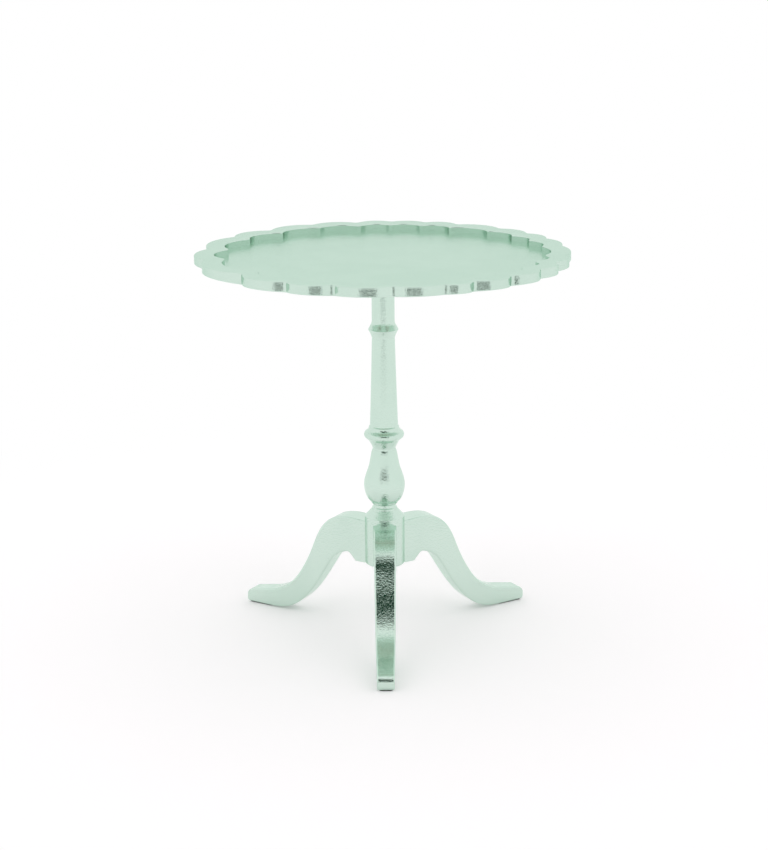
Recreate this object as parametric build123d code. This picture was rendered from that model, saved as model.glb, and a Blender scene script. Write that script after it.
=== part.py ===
from build123d import *

import math
import os

# Tilt-top tea table: a scalloped tray top on a turned pillar with three cabriole legs.
# Millimetres, +Z up. Origin: on the floor, on the pillar's axis.
# One leg points along -Y. The top is hinged along X over that leg, and its latch is at +Y.

# ---- Driving dimensions -------------------------------------------------------------

TABLE_HEIGHT = 760.0
GAP = 0.5                      # air between pieces that move past each other

# Top: a thin board with a raised scalloped rim
RIM_HEIGHT = 12.5
RIM_REBATE = 1.5               # the rim is let into the board by this much
EDGE_HEIGHT = 18.0             # visible band at the edge, rim included
BOARD_THICKNESS = 13.0
BEVEL_RADIUS = 290.0           # the underside is flat inside this radius
MEAN_RADIUS = 348.0
RIM_ROUNDING = 2.5
EDGE_ROUNDING = 1.8

# Scalloped outlines, uneven as carved by eye. The rim's inner outline follows the outer one.
LOBE_RADIUS = 355.5
RIM_WIDTH = 38.5
OUTER_NOTCH_ROUNDING = 9.0
INNER_NOTCH_ROUNDING = 6.0
NOTCHES = (                    # each notch's direction in degrees and its depth
    (8.0, 10.0), (21.5, 12.0), (33.0, 14.0), (46.0, 15.0), (63.0, 20.0), (75.0, 16.0),
    (87.0, 15.0), (99.0, 24.0), (115.0, 15.0), (133.0, 25.0), (150.0, 17.0), (173.0, 22.0),
    (193.0, 17.0), (221.0, 24.0), (240.0, 18.0), (255.0, 22.0), (273.0, 15.0), (288.0, 12.0),
    (298.0, 23.0), (312.0, 20.0), (326.0, 17.0), (338.0, 19.0), (350.0, 10.0),
)

# Pillar
HUB_RADIUS = 39.0
HUB_BOTTOM = 137.0
HUB_TOP = 235.0
NECK_RADIUS = 22.0
TENON_RADIUS = 15.0
CORNER_ROUNDING = 1.0          # on the turned corners that stand out
WEDGE_DEPTH = 22.0

# Legs
LEG_REACH = 321.0              # from the pillar's axis to the toe
LEG_ROOT_WIDTH = 46.0
LEG_TOE_WIDTH = 33.0
LEG_ROUNDING = 3.0
TONGUE_DEPTH = 14.0            # sliding dovetail in the hub
TONGUE_NECK = 16.0
TONGUE_WIDTH = 22.0
TONGUE_TOP = 212.0
SOCKET_OVERRUN = 5.0           # the socket's cutter starts outside the hub
TONGUE_OVERLAP = 2.0           # the tongue reaches into the leg it belongs to
PAD_THICKNESS = 2.5
PAD_WIDTH = 25.0
PAD_INNER = 262.0
PAD_OUTER = 317.0
PAD_ROUNDING = 5.0

# Spider plate under the hub
SPIDER_THICKNESS = 2.5
SPIDER_RADIUS = 26.0
SPIDER_ARM_WIDTH = 15.0
SPIDER_REACH = 54.0
SPIDER_HOLE_PLACE = 46.0

# Pivot block and hinge
BLOCK_LENGTH = 140.0           # along X
BLOCK_DEPTH = 149.0            # along Y
BLOCK_THICKNESS = 28.0
PIN_RADIUS = 5.0
PIN_CLEARANCE = 0.05
PIN_GRIP = 28.0                # length held in the block
PIN_REACH = 16.0               # length that runs in the bearer
PIN_END_SPACE = 1.0
PIN_CHAMFER = 0.8

# Bearers under the top
BEARER_GAP = 1.0
BEARER_WIDTH = 24.0
BEARER_DEPTH = 24.0
BEARER_HALF_LENGTH = 200.0
BEARER_END_DEPTH = 11.0
BEARER_TAPER = 55.0
BEARER_CHAMFER = 2.0
BEARER_SCREW_PLACES = (-140.0, 0.0, 140.0)

# Latch
CATCH_WIDTH = 24.0
CATCH_LENGTH = 40.0
CATCH_HEIGHT = 12.0
CATCH_WALL = 1.5
CATCH_ROUNDING = 2.0
CATCH_INSET = 3.0              # the case starts this far behind the plate's front edge
PLATE_LENGTH = 52.0
PLATE_WIDTH = 48.0
PLATE_THICKNESS = 1.6
PLATE_ROUNDING = 4.0
SCREW_MARGIN = 5.0             # from a plate's edges to its screws
BOLT_WIDTH = 12.0
BOLT_HEIGHT = 6.0
BOLT_TIP_HEIGHT = 2.0          # what the bevel leaves of the tip
BOLT_THROW = 8.0
BOLT_ENGAGEMENT = 6.0
BOLT_TAIL = 2.0                # length behind the case's middle
KNOB_RADIUS = 6.0
KNOB_TIP_RADIUS = 3.0
KNOB_NECK_RADIUS = 2.4
KNOB_LENGTH = 12.0
KNOB_SETBACK = 6.0             # from the bolt's back end
STEM_RADIUS = 1.6
STEM_SLOT_WIDTH = 6.0
SPRING_RADIUS = 3.6
SPRING_WIRE_RADIUS = 0.4
SPRING_TURNS = 6
STRIKE_WIDTH = 44.0
STRIKE_HEIGHT = 20.0
STRIKE_THICKNESS = 1.5
STRIKE_MARGIN = 6.0            # from the strike's ends to its screws
STRIKE_SPACE = 1.0             # room round the bolt's tip
STRIKE_POCKET_SPACE = 4.0      # room ahead of the bolt's tip

# Screws: (shank radius, head radius, head height)
WOOD_SCREW = (2.0, 4.2, 2.6)
SMALL_SCREW = (1.2, 2.5, 1.5)
SLOT_WIDTH = 0.9
SPIDER_SCREW_LENGTH = 24.0
BEARER_SCREW_LENGTH = 33.0
STRIKE_SCREW_LENGTH = 14.0
CATCH_SCREW_LENGTH = 9.0

# ---- Derived places -----------------------------------------------------------------

FIELD_Z = TABLE_HEIGHT - RIM_HEIGHT
BOARD_BOTTOM = FIELD_Z - BOARD_THICKNESS
BLOCK_TOP = BOARD_BOTTOM - GAP
BLOCK_BOTTOM = BLOCK_TOP - BLOCK_THICKNESS
PIVOT_Z = BLOCK_TOP - BLOCK_THICKNESS / 2
BLOCK_BACK = BLOCK_DEPTH / 2
PIVOT_Y = -BLOCK_DEPTH / 2 + BLOCK_THICKNESS / 2
BEARER_X = BLOCK_LENGTH / 2 + BEARER_GAP + BEARER_WIDTH / 2
LEG_DIRECTIONS = {"front": -90.0, "left": 150.0, "right": 30.0}
BEARER_BOTTOM = BOARD_BOTTOM - BEARER_DEPTH
SPIDER_BOTTOM = HUB_BOTTOM - SPIDER_THICKNESS
PLATE_BOTTOM = BOARD_BOTTOM - PLATE_THICKNESS
PLATE_FRONT = BLOCK_BACK + 3.0
PLATE_MIDDLE = PLATE_FRONT + PLATE_LENGTH / 2
CATCH_MIDDLE = PLATE_FRONT + CATCH_INSET + CATCH_LENGTH / 2
CATCH_BOTTOM = PLATE_BOTTOM - CATCH_HEIGHT
BOLT_Z = PLATE_BOTTOM - CATCH_HEIGHT / 2
BOLT_TIP_Y = BLOCK_BACK - BOLT_ENGAGEMENT
BOLT_BACK = CATCH_MIDDLE + BOLT_TAIL
KNOB_Y = BOLT_BACK - KNOB_SETBACK
STRIKE_MIDDLE_Z = BLOCK_TOP - STRIKE_HEIGHT / 2


def polar(radius, degrees):
    """A point in the XY plane at this radius and direction."""
    angle = math.radians(degrees)
    return (radius * math.cos(angle), radius * math.sin(angle))


def turned_to(shape, direction):
    """A shape made along +X, turned about Z to this direction in degrees."""
    return shape.rotate(Axis.Z, direction)


def as_group(pieces):
    """Several separate solids as one node."""
    return Compound(children=list(pieces))


def save(shape, name):
    shape.label = name
    export_step(shape, os.path.join("parts", name + ".step"))


# ---- Fasteners ----------------------------------------------------------------------

def screw_body(size, length):
    """The room a countersunk screw takes: head at the origin, shank along -Z."""
    shank_radius, head_radius, head_height = size
    profile = Polyline(
        (0, 0), (head_radius, 0), (shank_radius, -head_height),
        (shank_radius, -length + 2 * shank_radius), (0, -length), (0, 0),
    )
    return revolve(Plane.XZ * make_face(profile), Axis.Z)


def slotted(screw, size):
    """The same screw with a slot across its head."""
    _, head_radius, head_height = size
    slot_depth = head_height / 2
    slot = Pos(0, 0, -slot_depth / 2) * Box(2.2 * head_radius, SLOT_WIDTH, slot_depth)
    return screw - slot


def placed_screws(size, length, places):
    """Screw bodies and finished screws at these locations."""
    bodies = [place * screw_body(size, length) for place in places]
    screws = [place * slotted(screw_body(size, length), size) for place in places]
    return bodies, screws


# ---- Top ----------------------------------------------------------------------------

def scalloped_face(lobe_radius, rounding):
    """A closed outline of rounded lobes, one between each two notches."""
    arcs = []
    for index, (end, end_depth) in enumerate(NOTCHES):
        start, start_depth = NOTCHES[index - 1]
        middle = start + (end - start) % 360 / 2
        arcs.append(ThreePointArc(
            polar(lobe_radius - start_depth, start),
            polar(lobe_radius, middle),
            polar(lobe_radius - end_depth, end),
        ))
    face = make_face(arcs)
    return fillet(face.vertices(), rounding)


def board_envelope():
    """Turned disc whose underside rises toward the edge, so that the edge looks thin."""
    edge_z = TABLE_HEIGHT - EDGE_HEIGHT
    slope = (edge_z - BOARD_BOTTOM) / (MEAN_RADIUS - BEVEL_RADIUS)
    outside = MEAN_RADIUS + 20
    outside_z = BOARD_BOTTOM + slope * (outside - BEVEL_RADIUS)
    profile = Polyline(
        (0, BOARD_BOTTOM), (BEVEL_RADIUS, BOARD_BOTTOM), (outside, outside_z),
        (outside, FIELD_Z), (0, FIELD_Z), (0, BOARD_BOTTOM),
    )
    return revolve(Plane.XZ * make_face(profile), Axis.Z)


def rim_ring(outline, height):
    """The ring between the two scalloped outlines, from the bottom of the board's rebate."""
    ring = outline - scalloped_face(LOBE_RADIUS - RIM_WIDTH, INNER_NOTCH_ROUNDING)
    return Pos(0, 0, FIELD_Z - RIM_REBATE) * extrude(ring, amount=height)


def make_board(outline):
    prism = Pos(0, 0, BOARD_BOTTOM) * extrude(outline, amount=BOARD_THICKNESS)
    board = prism & board_envelope()
    lower_edges = [
        edge for edge in board.edges()
        if BOARD_BOTTOM + 1 < edge.center().Z < FIELD_Z - 1
        and edge.bounding_box().size.Z < 3
    ]
    return fillet(lower_edges, EDGE_ROUNDING) - rim_ring(outline, RIM_REBATE)


def make_rim(outline):
    ring = rim_ring(outline, RIM_REBATE + RIM_HEIGHT)
    return fillet(ring.faces().sort_by(Axis.Z)[-1].edges(), RIM_ROUNDING)


# ---- Pillar -------------------------------------------------------------------------

def pillar_profile():
    """Half section of the turned pillar, from the hub's underside to the tenon's top."""
    hub_edge = 3.0
    belly = Spline(
        (27.5, 266), (37.2, 281), (40.2, 298), (37.4, 316), (29.6, 340), (23.8, 369), (30.5, 390),
        tangents=((1.0, 0.7), (0.6, 1.0)),
    )
    path = [
        Line((0, HUB_BOTTOM), (HUB_RADIUS - hub_edge, HUB_BOTTOM)),
        RadiusArc((HUB_RADIUS - hub_edge, HUB_BOTTOM), (HUB_RADIUS, HUB_BOTTOM + hub_edge), -hub_edge),
        Line((HUB_RADIUS, HUB_BOTTOM + hub_edge), (HUB_RADIUS, HUB_TOP)),
        # sloping shoulder and the small fillets over the hub
        Polyline(
            (HUB_RADIUS, HUB_TOP), (24.8, 250), (24.8, 252.5), (22.5, 254.5), (22.5, 260),
            (26.0, 262.5), (27.5, 266),
        ),
        belly,
        # flared collar with a sharp lip
        Polyline((30.5, 390), (37.5, 396)),
        ThreePointArc((37.5, 396), (39.0, 401), (36.0, 407)),
        ThreePointArc((36.0, 407), (31.2, 411), (29.2, 417)),
        Polyline((29.2, 417), (27.3, 419), (27.3, 422)),
        # shaft, tapering upward to the ring
        Spline((27.3, 422), (25.1, 485), (22.1, 593)),
        ThreePointArc((22.1, 593), (23.5, 597), (25.5, 602)),
        Polyline((25.5, 602), (29.2, 609), (25.5, 616)),
        ThreePointArc((25.5, 616), (23.2, 620), (NECK_RADIUS, 625)),
        Polyline(
            (NECK_RADIUS, 625), (NECK_RADIUS, BLOCK_BOTTOM), (TENON_RADIUS, BLOCK_BOTTOM),
            (TENON_RADIUS, BLOCK_TOP), (0, BLOCK_TOP), (0, HUB_BOTTOM),
        ),
    ]
    face = make_face(path)
    soft_corners = (
        (HUB_RADIUS, HUB_TOP), (24.8, 252.5), (26.0, 262.5), (30.5, 390), (37.5, 396), (29.2, 609),
    )
    soft = [
        vertex for vertex in face.vertices()
        if any(math.dist((vertex.X, vertex.Y), corner) < 0.1 for corner in soft_corners)
    ]
    return fillet(soft, CORNER_ROUNDING)


def tongue(extra_depth):
    """Sliding dovetail along +X, wider toward the pillar's axis, from the hub's underside."""
    inner = HUB_RADIUS - TONGUE_DEPTH
    outer = HUB_RADIUS + extra_depth
    neck = TONGUE_NECK / 2
    root = TONGUE_WIDTH / 2
    section = make_face(Polyline(
        (inner, -root), (outer, -neck), (outer, neck), (inner, root), (inner, -root),
    ))
    return Pos(0, 0, HUB_BOTTOM) * extrude(section, amount=TONGUE_TOP - HUB_BOTTOM)


def wedge_body():
    """Thin wedge driven across the tenon's top, along Y, to spread it in the block."""
    half_top = 1.8
    half_bottom = 0.5
    bottom = BLOCK_TOP - WEDGE_DEPTH
    section = make_face(Polyline(
        (-half_top, BLOCK_TOP), (half_top, BLOCK_TOP), (half_bottom, bottom),
        (-half_bottom, bottom), (-half_top, BLOCK_TOP),
    ))
    slab = extrude(Plane.XZ * section, amount=2 * TENON_RADIUS, both=True)
    return slab & Pos(0, 0, BLOCK_TOP - WEDGE_DEPTH / 2) * Cylinder(TENON_RADIUS, WEDGE_DEPTH)


def make_column(spider_bodies):
    column = revolve(Plane.XZ * pillar_profile(), Axis.Z)
    for direction in LEG_DIRECTIONS.values():
        column -= turned_to(tongue(SOCKET_OVERRUN), direction)
    column -= wedge_body()
    for body in spider_bodies:
        column -= body
    return column


# ---- Legs and feet ------------------------------------------------------------------

def leg_side_face():
    """Side view of a leg in the XZ plane, X outward: knee, slim ankle and slipper foot."""
    root = HUB_RADIUS - 8.0
    top_edge = Spline(
        (root, 224), (72, 225.5), (108, 218), (136, 193), (160, 143),
        (190, 88), (217, 59), (250, 42), (304, 31),
        tangents=((1.0, 0.0), (1.0, -0.2)),
    )
    toe = ThreePointArc((304, 31), (LEG_REACH - 0.5, 20), (LEG_REACH - 3, PAD_THICKNESS))
    sole = Line((LEG_REACH - 3, PAD_THICKNESS), (258, PAD_THICKNESS))
    under_edge = Spline(
        (258, PAD_THICKNESS), (213, 11), (180, 34), (151, 69), (121, 116), (97, 144.5), (80, 151.5),
        (66, 148),
        tangents=((-1.0, 0.0), (-0.7, -0.7)),
    )
    heel = Polyline((66, 148), (56, HUB_BOTTOM), (root, HUB_BOTTOM), (root, 224))
    return Plane.XZ * make_face([top_edge, toe, sole, under_edge, heel])


def leg_plan():
    """Room for a leg in plan: it gets thinner toward the toe."""
    root = HUB_RADIUS - 8.0
    half_root = LEG_ROOT_WIDTH / 2
    half_toe = LEG_TOE_WIDTH / 2
    section = make_face(Polyline(
        (LEG_REACH, half_toe), (root, half_root), (root, -half_root), (LEG_REACH, -half_toe),
        (LEG_REACH, half_toe),
    ))
    return extrude(section, amount=HUB_TOP)


def is_side_edge(edge):
    """True for the edges along a leg's two sides, from past the hub round the toe."""
    middle = edge.center()
    size = edge.bounding_box().size
    past_hub = middle.X > HUB_RADIUS + 30
    on_sole = middle.Z < PAD_THICKNESS + 1
    return past_hub and not on_sole and size.Y < LEG_TOE_WIDTH / 2


def leg_blank():
    """A leg along +X before it is fitted: its end is scribed to the round hub."""
    width = 2 * LEG_ROOT_WIDTH
    side = Pos(0, width / 2, 0) * extrude(leg_side_face(), amount=width)
    blank = side & leg_plan()
    blank = fillet(blank.edges().filter_by(is_side_edge), LEG_ROUNDING)
    hub = Pos(0, 0, HUB_TOP / 2) * Cylinder(HUB_RADIUS, 2 * HUB_TOP)
    return blank - hub


def make_leg(spider_bodies, direction):
    leg = turned_to(leg_blank() + tongue(TONGUE_OVERLAP), direction)
    for body in spider_bodies:
        leg -= body
    return leg


def make_pad():
    """Thin pad under a toe, along +X."""
    length = PAD_OUTER - PAD_INNER
    middle = (PAD_OUTER + PAD_INNER) / 2
    outline = RectangleRounded(length, PAD_WIDTH, PAD_ROUNDING)
    return Pos(middle, 0, 0) * extrude(outline, amount=PAD_THICKNESS)


# ---- Spider plate -------------------------------------------------------------------

def spider_places():
    """Screws go up into the hub's middle and into each leg."""
    places = [Pos(0, 0, SPIDER_BOTTOM) * Rot(180, 0, 0)]
    for direction in LEG_DIRECTIONS.values():
        x, y = polar(SPIDER_HOLE_PLACE, direction)
        places.append(Pos(x, y, SPIDER_BOTTOM) * Rot(180, 0, 0))
    return places


def make_spider_plate(spider_bodies):
    arm_length = SPIDER_REACH - SPIDER_ARM_WIDTH / 2
    outline = Circle(SPIDER_RADIUS)
    for direction in LEG_DIRECTIONS.values():
        arm = Pos(arm_length / 2, 0) * Rectangle(arm_length, SPIDER_ARM_WIDTH)
        arm += Pos(arm_length, 0) * Circle(SPIDER_ARM_WIDTH / 2)
        outline += arm.rotate(Axis.Z, direction)
    plate = Pos(0, 0, SPIDER_BOTTOM) * extrude(outline, amount=SPIDER_THICKNESS)
    for body in spider_bodies:
        plate -= body
    return plate


# ---- Pivot block, pins and bearers --------------------------------------------------

def pivot_pin(side):
    """Steel pin along X on the hinge axis; side is -1 or +1."""
    length = PIN_GRIP + BEARER_GAP + PIN_REACH
    middle = side * (BLOCK_LENGTH / 2 - PIN_GRIP + length / 2)
    pin = Cylinder(PIN_RADIUS, length).rotate(Axis.Y, 90)
    pin = chamfer(pin.edges(), PIN_CHAMFER)
    return Pos(middle, PIVOT_Y, PIVOT_Z) * pin


def pin_hole(side):
    """Running hole for a pin in its bearer, a little deeper than the pin is long."""
    depth = PIN_REACH + PIN_END_SPACE
    start = BLOCK_LENGTH / 2 + BEARER_GAP
    middle = side * (start + depth / 2)
    hole = Cylinder(PIN_RADIUS + PIN_CLEARANCE, depth).rotate(Axis.Y, 90)
    return Pos(middle, PIVOT_Y, PIVOT_Z) * hole


def make_block(strike_room, pins):
    """Block on the pillar's tenon, with a bullnosed front centred on the hinge axis."""
    half = BLOCK_THICKNESS / 2
    straight = BLOCK_BACK - PIVOT_Y
    block = Pos(0, PIVOT_Y + straight / 2, PIVOT_Z) * Box(BLOCK_LENGTH, straight, BLOCK_THICKNESS)
    block += Pos(0, PIVOT_Y, PIVOT_Z) * Cylinder(half, BLOCK_LENGTH).rotate(Axis.Y, 90)
    block -= Pos(0, 0, PIVOT_Z) * Cylinder(TENON_RADIUS, 2 * BLOCK_THICKNESS)
    for room in strike_room:
        block -= room
    for pin in pins:
        block -= pin
    return block


def bearer_places(side):
    """Screws up through a bearer into the board."""
    return [Pos(side * BEARER_X, y, BEARER_BOTTOM) * Rot(180, 0, 0) for y in BEARER_SCREW_PLACES]


def make_bearer(side, screw_bodies):
    """Long bearer along Y with tapered ends."""
    top = BOARD_BOTTOM
    end_z = BOARD_BOTTOM - BEARER_END_DEPTH
    half = BEARER_HALF_LENGTH
    flat = half - BEARER_TAPER
    section = make_face(Polyline(
        (-half, top), (-half, end_z), (-flat, BEARER_BOTTOM), (flat, BEARER_BOTTOM),
        (half, end_z), (half, top), (-half, top),
    ))
    bearer = extrude(Plane.YZ * section, amount=BEARER_WIDTH / 2, both=True)
    bearer = chamfer(bearer.edges().filter_by(Axis.Y).group_by(Axis.Z)[0], BEARER_CHAMFER)
    bearer = Pos(side * BEARER_X, 0, 0) * bearer
    bearer -= pin_hole(side)
    for body in screw_bodies:
        bearer -= body
    return bearer


# ---- Latch --------------------------------------------------------------------------

def catch_plate_places():
    """Screws at the catch plate's corners, up into the board."""
    x = PLATE_WIDTH / 2 - SCREW_MARGIN
    y = PLATE_LENGTH / 2 - SCREW_MARGIN
    corners = ((x, y), (-x, y), (-x, -y), (x, -y))
    return [
        Pos(across, PLATE_MIDDLE + along, PLATE_BOTTOM) * Rot(180, 0, 0)
        for across, along in corners
    ]


def make_catch_plate(screw_bodies):
    outline = RectangleRounded(PLATE_WIDTH, PLATE_LENGTH, PLATE_ROUNDING)
    plate = Pos(0, PLATE_MIDDLE, PLATE_BOTTOM) * extrude(outline, amount=PLATE_THICKNESS)
    for body in screw_bodies:
        plate -= body
    return plate


def make_catch_case():
    """Brass housing under the plate: open at the top against the plate, holed for the bolt."""
    case = fillet(Box(CATCH_WIDTH, CATCH_LENGTH, CATCH_HEIGHT).edges().filter_by(Axis.Z), CATCH_ROUNDING)
    case = Pos(0, CATCH_MIDDLE, PLATE_BOTTOM - CATCH_HEIGHT / 2) * case
    room = Box(CATCH_WIDTH - 2 * CATCH_WALL, CATCH_LENGTH - 2 * CATCH_WALL, CATCH_HEIGHT - CATCH_WALL)
    case -= Pos(0, CATCH_MIDDLE, PLATE_BOTTOM - (CATCH_HEIGHT - CATCH_WALL) / 2) * room
    mouth = Box(BOLT_WIDTH + 2 * GAP, 4 * CATCH_WALL, BOLT_HEIGHT + 2 * GAP)
    case -= Pos(0, CATCH_MIDDLE - CATCH_LENGTH / 2, BOLT_Z) * mouth
    stem_slot = Box(STEM_SLOT_WIDTH, BOLT_THROW + STEM_SLOT_WIDTH, 4 * CATCH_WALL)
    return case - Pos(0, KNOB_Y + BOLT_THROW / 2, CATCH_BOTTOM) * stem_slot


def make_catch_bolt():
    """Flat brass bolt along Y whose tip is bevelled underneath."""
    length = BOLT_BACK - BOLT_TIP_Y
    middle = (BOLT_BACK + BOLT_TIP_Y) / 2
    bolt = Pos(0, middle, BOLT_Z) * Box(BOLT_WIDTH, length, BOLT_HEIGHT)
    tip_edge = bolt.edges().filter_by(Axis.X).group_by(Axis.Y)[0].sort_by(Axis.Z)[0]
    bolt = chamfer(tip_edge, BOLT_HEIGHT - BOLT_TIP_HEIGHT)
    return bolt - Pos(0, KNOB_Y, BOLT_Z) * Cylinder(STEM_RADIUS, 2 * BOLT_HEIGHT)


def make_catch_knob():
    """Turned pull on a stem that passes through the case's slot."""
    bolt_top = BOLT_Z + BOLT_HEIGHT / 2
    bolt_bottom = BOLT_Z - BOLT_HEIGHT / 2
    knob_top = CATCH_BOTTOM - 2 * GAP
    knob_bottom = knob_top - KNOB_LENGTH
    shoulder = knob_top - KNOB_LENGTH / 6
    widest = (KNOB_RADIUS, (shoulder + knob_bottom) / 2)
    profile = make_face([
        Polyline(
            (0, bolt_top), (STEM_RADIUS, bolt_top), (STEM_RADIUS, bolt_bottom),
            (KNOB_NECK_RADIUS, bolt_bottom), (KNOB_NECK_RADIUS, shoulder),
        ),
        ThreePointArc((KNOB_NECK_RADIUS, shoulder), widest, (KNOB_TIP_RADIUS, knob_bottom)),
        Polyline((KNOB_TIP_RADIUS, knob_bottom), (0, knob_bottom), (0, bolt_top)),
    ])
    return Pos(0, KNOB_Y, 0) * revolve(Plane.XZ * profile, Axis.Z)


def make_catch_spring():
    """Coil spring behind the bolt, along Y, between the bolt and the case's back wall."""
    start = BOLT_BACK + SPRING_WIRE_RADIUS
    end = CATCH_MIDDLE + CATCH_LENGTH / 2 - CATCH_WALL - SPRING_WIRE_RADIUS
    helix = Helix(pitch=(end - start) / SPRING_TURNS, height=end - start, radius=SPRING_RADIUS)
    section = Plane(helix @ 0, z_dir=helix % 0) * Circle(SPRING_WIRE_RADIUS)
    spring = sweep(section, path=helix, is_frenet=True)
    return Pos(0, start, BOLT_Z) * spring.rotate(Axis.X, -90)


def strike_places():
    """Screws near the strike plate's ends, into the block's back face."""
    x = STRIKE_WIDTH / 2 - STRIKE_MARGIN
    return [Pos(side * x, BLOCK_BACK, STRIKE_MIDDLE_Z) * Rot(-90, 0, 0) for side in (-1, 1)]


def strike_slot(depth):
    """Room for the bolt's tip, from the block's back face inward."""
    box = Box(BOLT_WIDTH + 2 * STRIKE_SPACE, depth, BOLT_HEIGHT + 2 * STRIKE_SPACE)
    return Pos(0, BLOCK_BACK - depth / 2, BOLT_Z) * box


def strike_body():
    middle_y = BLOCK_BACK - STRIKE_THICKNESS / 2
    return Pos(0, middle_y, STRIKE_MIDDLE_Z) * Box(STRIKE_WIDTH, STRIKE_THICKNESS, STRIKE_HEIGHT)


def make_strike_plate(screw_bodies):
    plate = strike_body() - strike_slot(3 * STRIKE_THICKNESS)
    for body in screw_bodies:
        plate -= body
    return plate


# ---- The whole table ----------------------------------------------------------------

def make_base():
    """Pieces that stand still."""
    spider_bodies, spider_screws = placed_screws(WOOD_SCREW, SPIDER_SCREW_LENGTH, spider_places())
    strike_bodies, strike_screws = placed_screws(SMALL_SCREW, STRIKE_SCREW_LENGTH, strike_places())
    pins = {"pivot_pin_left": pivot_pin(-1), "pivot_pin_right": pivot_pin(1)}
    pocket = strike_slot(BOLT_ENGAGEMENT + STRIKE_POCKET_SPACE)
    nodes = {
        "column": make_column(spider_bodies),
        "spider_plate": make_spider_plate(spider_bodies),
        "spider_screws": as_group(spider_screws),
        "pivot_block": make_block([strike_body(), pocket] + strike_bodies, pins.values()),
        "tenon_wedge": wedge_body(),
        "strike_plate": make_strike_plate(strike_bodies),
        "strike_screws": as_group(strike_screws),
    }
    nodes.update(pins)
    for name, direction in LEG_DIRECTIONS.items():
        nodes["leg_" + name] = make_leg(spider_bodies, direction)
        nodes["foot_pad_" + name] = turned_to(make_pad(), direction)
    return nodes


def make_top():
    """Pieces that tilt."""
    outline = scalloped_face(LOBE_RADIUS, OUTER_NOTCH_ROUNDING)
    board = make_board(outline)
    nodes = {"rim": make_rim(outline)}
    bearer_screws = []
    for name, side in (("left", -1), ("right", 1)):
        bodies, screws = placed_screws(WOOD_SCREW, BEARER_SCREW_LENGTH, bearer_places(side))
        nodes["bearer_" + name] = make_bearer(side, bodies)
        bearer_screws += screws
        for body in bodies:
            board -= body
    catch_bodies, catch_screws = placed_screws(SMALL_SCREW, CATCH_SCREW_LENGTH, catch_plate_places())
    for body in catch_bodies:
        board -= body
    nodes["table_top"] = board
    nodes["bearer_screws"] = as_group(bearer_screws)
    nodes["catch_plate"] = make_catch_plate(catch_bodies)
    nodes["catch_case"] = make_catch_case()
    nodes["catch_screws"] = as_group(catch_screws)
    nodes["catch_spring"] = make_catch_spring()
    return nodes


def make_bolt_group():
    """Pieces that slide in the catch."""
    return {"catch_bolt": make_catch_bolt(), "catch_knob": make_catch_knob()}


os.makedirs("parts", exist_ok=True)
for group in (make_base(), make_top(), make_bolt_group()):
    for node_name, node_shape in group.items():
        save(node_shape, node_name)
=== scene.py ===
import math

import bpy
from mathutils import Matrix


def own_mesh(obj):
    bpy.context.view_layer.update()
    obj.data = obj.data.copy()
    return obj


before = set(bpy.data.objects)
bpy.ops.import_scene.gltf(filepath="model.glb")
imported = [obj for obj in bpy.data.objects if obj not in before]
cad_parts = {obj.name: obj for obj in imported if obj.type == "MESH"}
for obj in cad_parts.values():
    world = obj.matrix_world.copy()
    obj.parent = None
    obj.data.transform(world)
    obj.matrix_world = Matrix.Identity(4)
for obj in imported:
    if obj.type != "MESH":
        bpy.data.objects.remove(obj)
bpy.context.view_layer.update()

# Tilt-top tea table: leafed and lacquered wood, on a pale floor in soft studio light.
# Metres, the CAD model's own frame: origin on the floor on the pillar's axis, +Z up, front at -Y.


# ---- Node helpers ---------------------------------------------------------------------

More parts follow.
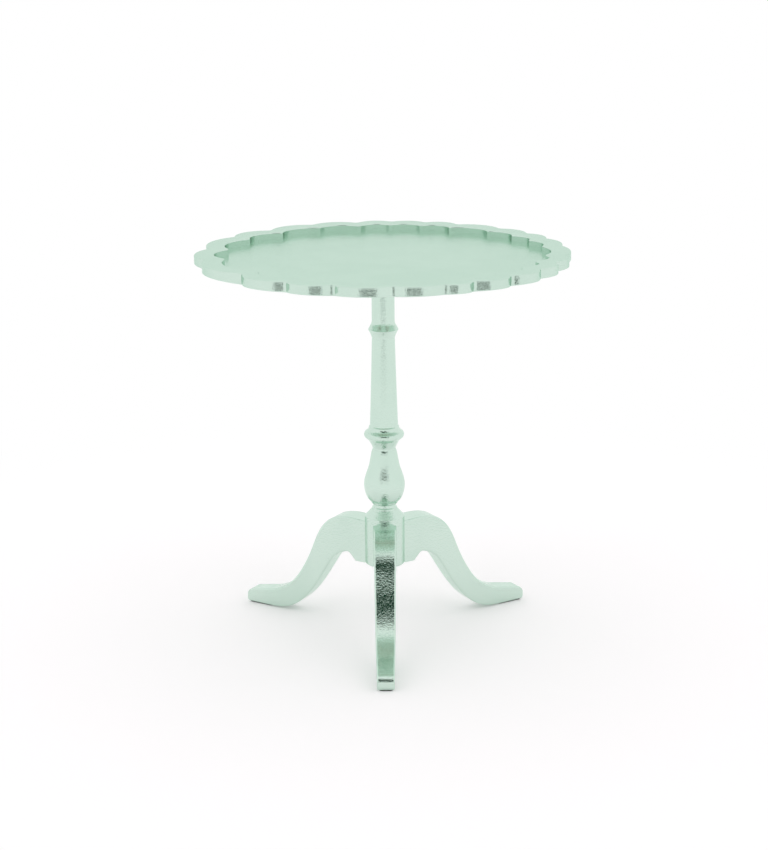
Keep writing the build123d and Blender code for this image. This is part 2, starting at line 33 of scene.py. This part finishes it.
class Shader:
    """A small wrapper that adds nodes to a tree and links them."""

    def __init__(self, tree):
        self.tree = tree
        tree.nodes.clear()

    def node(self, kind, **settings):
        made = self.tree.nodes.new(kind)
        for name, value in settings.items():
            setattr(made, name, value)
        return made

    def feed(self, socket, value):
        """Links an output to a socket, or sets the socket to a plain value."""
        if isinstance(value, bpy.types.NodeSocket):
            self.tree.links.new(value, socket)
        else:
            socket.default_value = value

    def math(self, operation, first, second):
        node = self.node("ShaderNodeMath", operation=operation)
        self.feed(node.inputs[0], first)
        self.feed(node.inputs[1], second)
        return node.outputs[0]

    def ramp(self, value, edges, ends=(0.0, 1.0)):
        """A smooth step: the first end below the lower edge, the second end above the upper one."""
        node = self.node("ShaderNodeMapRange", interpolation_type="SMOOTHSTEP")
        self.feed(node.inputs["Value"], value)
        self.feed(node.inputs["From Min"], edges[0])
        self.feed(node.inputs["From Max"], edges[1])
        self.feed(node.inputs["To Min"], ends[0])
        self.feed(node.inputs["To Max"], ends[1])
        return node.outputs["Result"]

    def mix(self, factor, first, second):
        """Two colours mixed; a factor of one gives the second."""
        node = self.node("ShaderNodeMix", data_type="RGBA")
        sockets = {socket.identifier: socket for socket in node.inputs}
        self.feed(sockets["Factor_Float"], factor)
        self.feed(sockets["A_Color"], first)
        self.feed(sockets["B_Color"], second)
        return next(socket for socket in node.outputs if socket.identifier == "Result_Color")

    def place(self, stretch=(1.0, 1.0, 1.0)):
        """Object coordinates, stretched along each axis."""
        coordinates = self.node("ShaderNodeTexCoord")
        mapping = self.node("ShaderNodeMapping")
        self.feed(mapping.inputs["Vector"], coordinates.outputs["Object"])
        self.feed(mapping.inputs["Scale"], stretch)
        return mapping.outputs["Vector"]

    def noise(self, vector, scale, detail=2.0, roughness=0.5):
        node = self.node("ShaderNodeTexNoise")
        self.feed(node.inputs["Vector"], vector)
        self.feed(node.inputs["Scale"], scale)
        self.feed(node.inputs["Detail"], detail)
        self.feed(node.inputs["Roughness"], roughness)
        return node.outputs["Fac"]

    def bump(self, height, distance, strength=1.0, under=None):
        """A normal bent by a height field, on top of another bump where one is given."""
        node = self.node("ShaderNodeBump")
        self.feed(node.inputs["Height"], height)
        self.feed(node.inputs["Distance"], distance)
        self.feed(node.inputs["Strength"], strength)
        if under is not None:
            self.feed(node.inputs["Normal"], under)
        return node.outputs["Normal"]

    def surface(self, **inputs):
        """A Principled surface as the material's output; keys are socket names with _ for spaces."""
        shader = self.node("ShaderNodeBsdfPrincipled")
        for name, value in inputs.items():
            self.feed(shader.inputs[name.replace("_", " ")], value)
        output = self.node("ShaderNodeOutputMaterial")
        self.feed(output.inputs["Surface"], shader.outputs[0])


def new_material(name):
    material = bpy.data.materials.new(name)
    material.use_nodes = True
    return material, Shader(material.node_tree)


# ---- Materials ------------------------------------------------------------------------
# Noise scales count cells per metre, and depths are in metres. The "edges" of a noise are the two
# values of it between which a tone or a gloss changes over, and "gloss" is a pair of roughnesses.

LEAF_LIGHT = (0.630, 0.775, 0.688, 1.0)
LEAF_DEEP = (0.600, 0.752, 0.662, 1.0)
LEAF_RUBBED = (0.430, 0.560, 0.470, 1.0)
LEAF_CLOUD_SCALE = 9.0
LEAF_CLOUD_EDGES = (0.35, 0.65)
LEAF_FLECK_SCALE = 180.0
LEAF_FLECK_EDGES = (0.66, 0.82)
LEAF_FLECK_STRENGTH = 0.35
LEAF_GRAIN_SCALE = 300.0
LEAF_PORE_SCALE = 800.0
LEAF_PORE_SHARE = 1 / 6        # a pore's depth, as a share of the grain's
LEAF_GLOSS_EDGES = (0.3, 0.8)
LEAF_GLOSS = (0.04, 0.10)

BASE_GRAIN_DEPTH = 0.0006
BASE_METALLIC = 0.98           # thin lacquer
BASE_EDGE_TINT = (0.90, 0.96, 0.925, 1.0)
TOP_GRAIN_DEPTH = 0.00028
TOP_METALLIC = 0.86            # thicker lacquer
TOP_EDGE_TINT = (0.70, 0.83, 0.755, 1.0)

LIMED_LIGHT = (0.62, 0.64, 0.56, 1.0)
LIMED_DARK = (0.47, 0.49, 0.41, 1.0)
WEDGE_LIGHT = (0.2, 0.11, 0.06, 1.0)
WEDGE_DARK = (0.12, 0.06, 0.03, 1.0)
FIBRE_SCALE_ACROSS = 90.0
FIBRE_SCALE_ALONG = 6.0
FIBRE_EDGES = (0.3, 0.7)
FIBRE_DEPTH = 0.0006
FIBRES_PER_RING = 6
RING_EDGES = (0.4, 0.62)
RING_STRENGTH = 0.5
WOOD_GLOSS = (0.45, 0.65)

STEEL_BRIGHT = (0.56, 0.56, 0.57, 1.0)
STEEL_DULL = (0.30, 0.29, 0.28, 1.0)
STEEL_ROUGHNESS = 0.25
BRASS_BRIGHT = (0.78, 0.57, 0.26, 1.0)
BRASS_DULL = (0.42, 0.28, 0.12, 1.0)
BRASS_ROUGHNESS = 0.20
TARNISH_SCALE = 45.0
TARNISH_EDGES = (0.45, 0.75)
TARNISH_GLOSS_EDGES = (0.3, 0.8)
TARNISH_ROUGHENING = 0.25
SCRATCH_SCALE = 260.0
SCRATCH_LENGTH = 12            # a scratch's length along Y over its width
SCRATCH_DEPTH = 0.0001

IRON_BLACK = (0.035, 0.035, 0.037, 1.0)
IRON_RUST = (0.09, 0.06, 0.045, 1.0)
IRON_METALLIC = 0.6
IRON_SCALE = 150.0
IRON_RUST_EDGES = (0.4, 0.8)
IRON_GLOSS_EDGES = (0.3, 0.7)
IRON_GLOSS = (0.45, 0.75)
IRON_DEPTH = 0.0006

FELT_DARK = (0.020, 0.024, 0.021, 1.0)
FELT_LIGHT = (0.055, 0.062, 0.056, 1.0)
FELT_ROUGHNESS = 0.95
FELT_SHEEN = 0.4
FELT_SHEEN_ROUGHNESS = 0.5
FUZZ_SCALE = 900.0
FUZZ_EDGES = (0.3, 0.7)
FUZZ_DEPTH = 0.0006


def leafed_wood(name, grain_depth, metallic, edge_tint):
    """Metal leaf over a grained ground, under thin green lacquer; more lacquer is less metallic."""
    material, s = new_material(name)
    place = s.place()
    cloud = s.noise(place, LEAF_CLOUD_SCALE, detail=3.0)
    fleck = s.noise(place, LEAF_FLECK_SCALE, detail=4.0, roughness=0.6)
    rubbed = s.ramp(fleck, LEAF_FLECK_EDGES, (0.0, LEAF_FLECK_STRENGTH))
    tone = s.mix(s.ramp(cloud, LEAF_CLOUD_EDGES), LEAF_LIGHT, LEAF_DEEP)
    grain = s.noise(place, LEAF_GRAIN_SCALE, roughness=0.6)
    pores = s.noise(place, LEAF_PORE_SCALE, detail=1.0)
    grained = s.bump(grain, grain_depth)
    s.surface(
        Base_Color=s.mix(rubbed, tone, LEAF_RUBBED),
        Metallic=metallic,
        Roughness=s.ramp(fleck, LEAF_GLOSS_EDGES, LEAF_GLOSS),
        Specular_Tint=edge_tint,
        Normal=s.bump(pores, grain_depth * LEAF_PORE_SHARE, under=grained),
    )
    return material


def bare_wood(name, light, dark, along):
    """Plain planed wood whose grain runs along one axis."""
    material, s = new_material(name)
    fibre_scales = [FIBRE_SCALE_ACROSS] * 3
    fibre_scales["XYZ".index(along)] = FIBRE_SCALE_ALONG
    ring_scales = [scale / FIBRES_PER_RING for scale in fibre_scales]
    fibre = s.noise(s.place(fibre_scales), 1.0, detail=6.0, roughness=0.65)
    rings = s.noise(s.place(ring_scales), 1.0)
    tone = s.mix(s.ramp(fibre, FIBRE_EDGES), light, dark)
    s.surface(
        Base_Color=s.mix(s.ramp(rings, RING_EDGES, (0.0, RING_STRENGTH)), tone, dark),
        Roughness=s.ramp(fibre, FIBRE_EDGES, WOOD_GLOSS),
        Normal=s.bump(fibre, FIBRE_DEPTH, strength=0.5),
    )
    return material


def polished_metal(name, bright, dull, roughness):
    """Metal with fine scratches and slight tarnish."""
    material, s = new_material(name)
    tarnish = s.noise(s.place(), TARNISH_SCALE, detail=5.0, roughness=0.6)
    scratch_scales = (SCRATCH_SCALE, SCRATCH_SCALE / SCRATCH_LENGTH, SCRATCH_SCALE)
    scratch = s.noise(s.place(scratch_scales), 1.0)
    gloss = (roughness, roughness + TARNISH_ROUGHENING)
    s.surface(
        Base_Color=s.mix(s.ramp(tarnish, TARNISH_EDGES), bright, dull),
        Metallic=1.0,
        Roughness=s.ramp(tarnish, TARNISH_GLOSS_EDGES, gloss),
        Normal=s.bump(scratch, SCRATCH_DEPTH, strength=0.4),
    )
    return material


def blackened_iron():
    """Forged strap, dull black with a little rust."""
    material, s = new_material("blackened_iron")
    scale = s.noise(s.place(), IRON_SCALE, detail=5.0, roughness=0.6)
    s.surface(
        Base_Color=s.mix(s.ramp(scale, IRON_RUST_EDGES), IRON_BLACK, IRON_RUST),
        Metallic=IRON_METALLIC,
        Roughness=s.ramp(scale, IRON_GLOSS_EDGES, IRON_GLOSS),
        Normal=s.bump(scale, IRON_DEPTH, strength=0.6),
    )
    return material


def dense_felt():
    """Pressed dark felt with a short nap."""
    material, s = new_material("dense_felt")
    fuzz = s.noise(s.place(), FUZZ_SCALE, detail=3.0, roughness=0.7)
    s.surface(
        Base_Color=s.mix(s.ramp(fuzz, FUZZ_EDGES), FELT_DARK, FELT_LIGHT),
        Roughness=FELT_ROUGHNESS,
        Sheen_Weight=FELT_SHEEN,
        Sheen_Roughness=FELT_SHEEN_ROUGHNESS,
        Normal=s.bump(fuzz, FUZZ_DEPTH, strength=0.8),
    )
    return material


def assign(material, *names):
    for name in names:
        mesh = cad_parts[name].data
        mesh.materials.clear()
        mesh.materials.append(material)


def finish_wood():
    leafed_base = leafed_wood("leafed_base", BASE_GRAIN_DEPTH, BASE_METALLIC, BASE_EDGE_TINT)
    assign(leafed_base, "column", "leg_front", "leg_left", "leg_right")
    leafed_top = leafed_wood("leafed_top", TOP_GRAIN_DEPTH, TOP_METALLIC, TOP_EDGE_TINT)
    assign(leafed_top, "table_top", "rim")
    assign(bare_wood("block_wood", LIMED_LIGHT, LIMED_DARK, "X"), "pivot_block")
    assign(bare_wood("bearer_wood", LIMED_LIGHT, LIMED_DARK, "Y"), "bearer_left", "bearer_right")
    assign(bare_wood("wedge_wood", WEDGE_LIGHT, WEDGE_DARK, "Z"), "tenon_wedge")


def finish_metal():
    steel = polished_metal("steel", STEEL_BRIGHT, STEEL_DULL, STEEL_ROUGHNESS)
    assign(steel, "pivot_pin_left", "pivot_pin_right", "bearer_screws", "spider_screws", "catch_spring")
    brass = polished_metal("brass", BRASS_BRIGHT, BRASS_DULL, BRASS_ROUGHNESS)
    assign(brass, "strike_plate", "strike_screws", "catch_plate", "catch_case", "catch_screws")
    assign(brass, "catch_bolt", "catch_knob")
    assign(blackened_iron(), "spider_plate")


def finish_pads():
    assign(dense_felt(), "foot_pad_front", "foot_pad_left", "foot_pad_right")


# ---- The latch's spring ---------------------------------------------------------------


def shorten_spring():
    """Gives the latch's spring, whose fixed end is at +Y, its own copy of its mesh."""
    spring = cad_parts["catch_spring"]
    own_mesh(spring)


# ---- Floor, light and camera ----------------------------------------------------------

FLOOR_RADIUS = 3.5
FLOOR_SIDES = 128
FLOOR_FADE = (0.5, 1.6)        # distances from the pillar over which the floor turns plain white
FLOOR_PAINT = (0.97, 0.94, 0.955, 1.0)
FLOOR_LIFT = 0.13              # light the floor gives off itself, as a lit acrylic sheet does


def lit_floor_material():
    """Matt paint with a slight glow, which turns into plain white away from the middle."""
    material, s = new_material("pale_floor")
    coordinates = s.node("ShaderNodeTexCoord")
    length = s.node("ShaderNodeVectorMath", operation="LENGTH")
    s.feed(length.inputs[0], coordinates.outputs["Object"])
    matt = s.node("ShaderNodeBsdfDiffuse")
    s.feed(matt.inputs["Color"], FLOOR_PAINT)
    lift = s.node("ShaderNodeEmission")
    s.feed(lift.inputs["Strength"], FLOOR_LIFT)
    lit = s.node("ShaderNodeAddShader")
    s.feed(lit.inputs[0], matt.outputs[0])
    s.feed(lit.inputs[1], lift.outputs[0])
    white = s.node("ShaderNodeEmission")
    blend = s.node("ShaderNodeMixShader")
    s.feed(blend.inputs[0], s.ramp(length.outputs["Value"], FLOOR_FADE))
    s.feed(blend.inputs[1], lit.outputs[0])
    s.feed(blend.inputs[2], white.outputs[0])
    output = s.node("ShaderNodeOutputMaterial")
    s.feed(output.inputs["Surface"], blend.outputs[0])
    return material


def make_floor():
    bpy.ops.mesh.primitive_circle_add(vertices=FLOOR_SIDES, radius=FLOOR_RADIUS, fill_type="NGON")
    floor = bpy.context.object
    floor.name = "floor"
    floor.data.materials.append(lit_floor_material())


# The lens end of the light tent has two dim openings, seen only in reflections. Each is given as
# tangents of angles from the table: half width, then lowest and highest elevation.
OPENING_HALF_WIDTH = 0.42
UPPER_OPENING = (0.385, 1.20)
LOWER_OPENING = (-0.32, -0.13)
SOFT_EDGE = 0.05               # half of the width over which an opening's edge fades
CRISP_EDGE = 0.01
WHITE = (1.0, 1.0, 1.0, 1.0)
OPENING_COLOUR = (0.002, 0.035, 0.016, 1.0)
LEAST_FORWARD = 0.001          # keeps the division finite sideways and behind


def band(s, value, limits, edge):
    """One between two limits, falling softly to zero outside them."""
    rising = s.ramp(value, (limits[0] - edge, limits[0] + edge))
    falling = s.ramp(value, (limits[1] - edge, limits[1] + edge), (1.0, 0.0))
    return s.math("MULTIPLY", rising, falling)


def make_surround():
    """White all round, with dim openings in front, as a light tent has for the lens."""
    world = bpy.data.worlds.new("light_tent")
    bpy.context.scene.world = world
    world.use_nodes = True
    s = Shader(world.node_tree)
    coordinates = s.node("ShaderNodeTexCoord")
    split = s.node("ShaderNodeSeparateXYZ")
    s.feed(split.inputs[0], coordinates.outputs["Generated"])
    forward = s.math("MAXIMUM", s.math("MULTIPLY", split.outputs["Y"], -1.0), LEAST_FORWARD)
    sideways = s.math("DIVIDE", split.outputs["X"], forward)
    upward = s.math("DIVIDE", split.outputs["Z"], forward)
    across = band(s, sideways, (-OPENING_HALF_WIDTH, OPENING_HALF_WIDTH), SOFT_EDGE)
    upper = band(s, upward, UPPER_OPENING, SOFT_EDGE)
    lower = band(s, upward, LOWER_OPENING, CRISP_EDGE)
    opening = s.math("MULTIPLY", across, s.math("ADD", upper, lower))
    tent = s.mix(opening, WHITE, OPENING_COLOUR)
    light_path = s.node("ShaderNodeLightPath")
    seen = s.mix(light_path.outputs["Is Camera Ray"], tent, WHITE)
    background = s.node("ShaderNodeBackground")
    s.feed(background.inputs["Color"], seen)
    output = s.node("ShaderNodeOutputWorld")
    s.feed(output.inputs["Surface"], background.outputs[0])


CAMERA_DISTANCE = 3.453        # from the pillar's axis, along -Y
CAMERA_HEIGHT = 1.3825
CAMERA_PITCH = 15.60           # degrees below the horizon
CAMERA_ROLL = -0.43            # degrees
CAMERA_SENSOR = 36.0           # mm, the picture's long side
CAMERA_LENS = 78.3             # mm


def make_camera():
    data = bpy.data.cameras.new("camera")
    data.lens = CAMERA_LENS
    data.sensor_width = CAMERA_SENSOR
    camera = bpy.data.objects.new("camera", data)
    tilt = Matrix.Rotation(math.radians(90 - CAMERA_PITCH), 4, "X")
    roll = Matrix.Rotation(math.radians(CAMERA_ROLL), 4, "Z")
    place = Matrix.Translation((0.0, -CAMERA_DISTANCE, CAMERA_HEIGHT))
    camera.matrix_world = place @ tilt @ roll
    bpy.context.scene.collection.objects.link(camera)
    bpy.context.scene.camera = camera


# ---- The scene ------------------------------------------------------------------------

finish_wood()
finish_metal()
finish_pads()
shorten_spring()
make_floor()
make_surround()
make_camera()
bpy.context.scene.view_settings.view_transform = "Standard"

bpy.context.view_layer.update()
